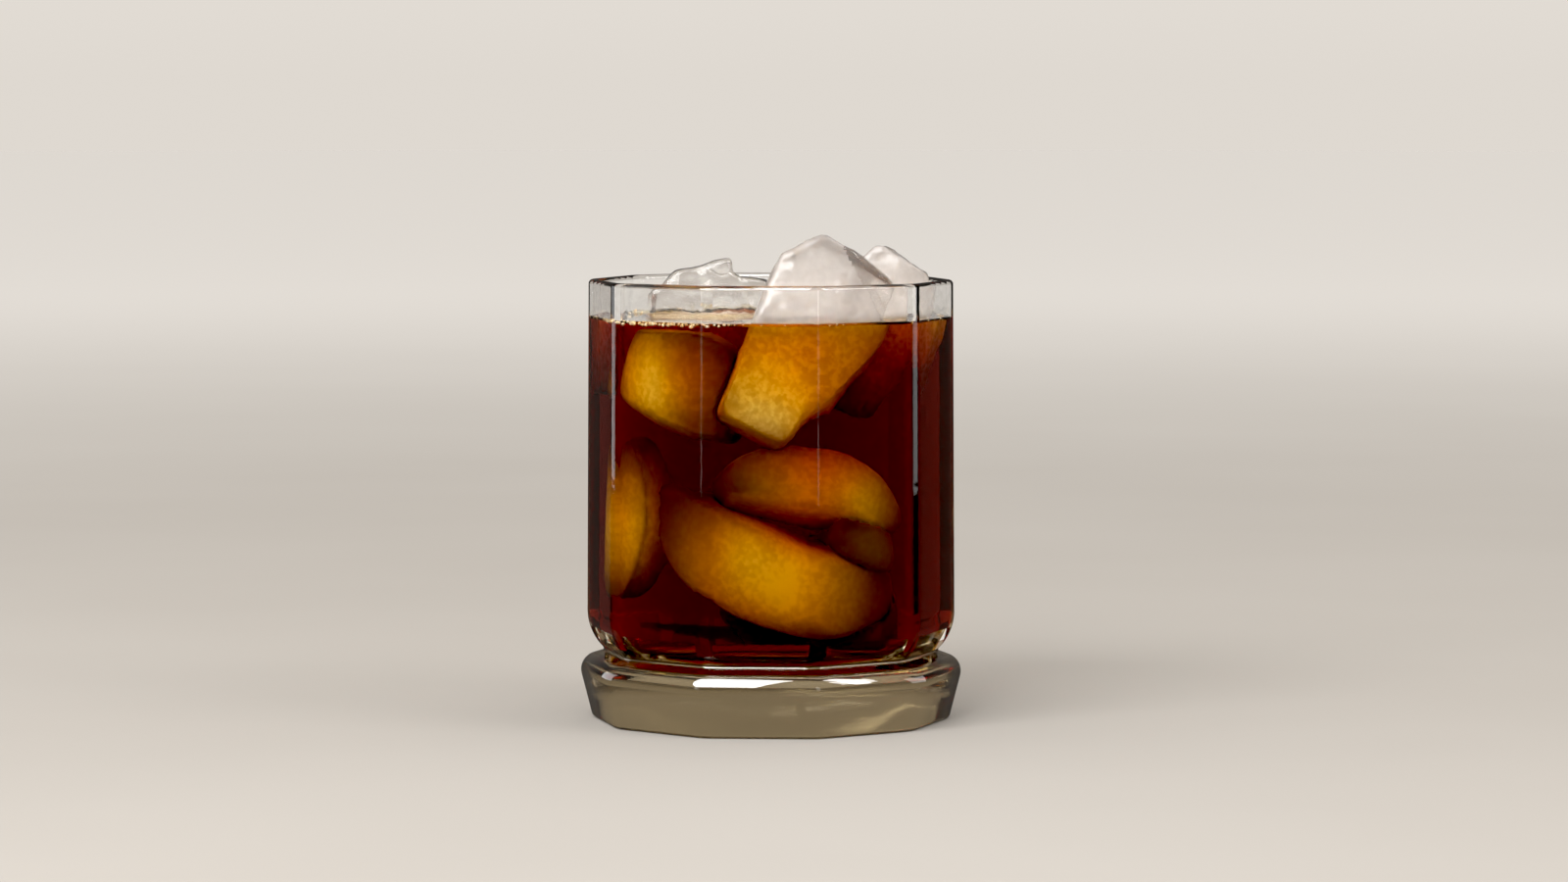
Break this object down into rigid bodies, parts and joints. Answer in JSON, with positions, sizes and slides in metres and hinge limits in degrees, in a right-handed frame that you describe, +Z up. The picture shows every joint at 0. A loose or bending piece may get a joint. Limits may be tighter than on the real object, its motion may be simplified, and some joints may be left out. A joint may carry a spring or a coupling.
{
  "type": "cold brew coffee in a glass",
  "caption": "Cold brew coffee on ice in a clear panelled tumbler with a thick foot, ice standing proud of the rim.",
  "frame": {"origin": "centre of the glass's foot, on the surface it stands on", "axes": "+Z up along the glass's axis, -Y through the flat panel at the front, +X through a corner of the glass"},
  "size_m": [0.0876, 0.084, 0.1118],
  "materials": {
    "glass": "clear, polished",
    "coffee": "dark clear liquid, red-brown where deep and amber where thin",
    "ice": "milky ice, wet"
  },
  "bodies": {
    "root": {"glass": "glass", "coffee": "coffee", "ice_front": "ice", "ice_right": "ice", "ice_left": "ice"}
  },
  "joints": []
}
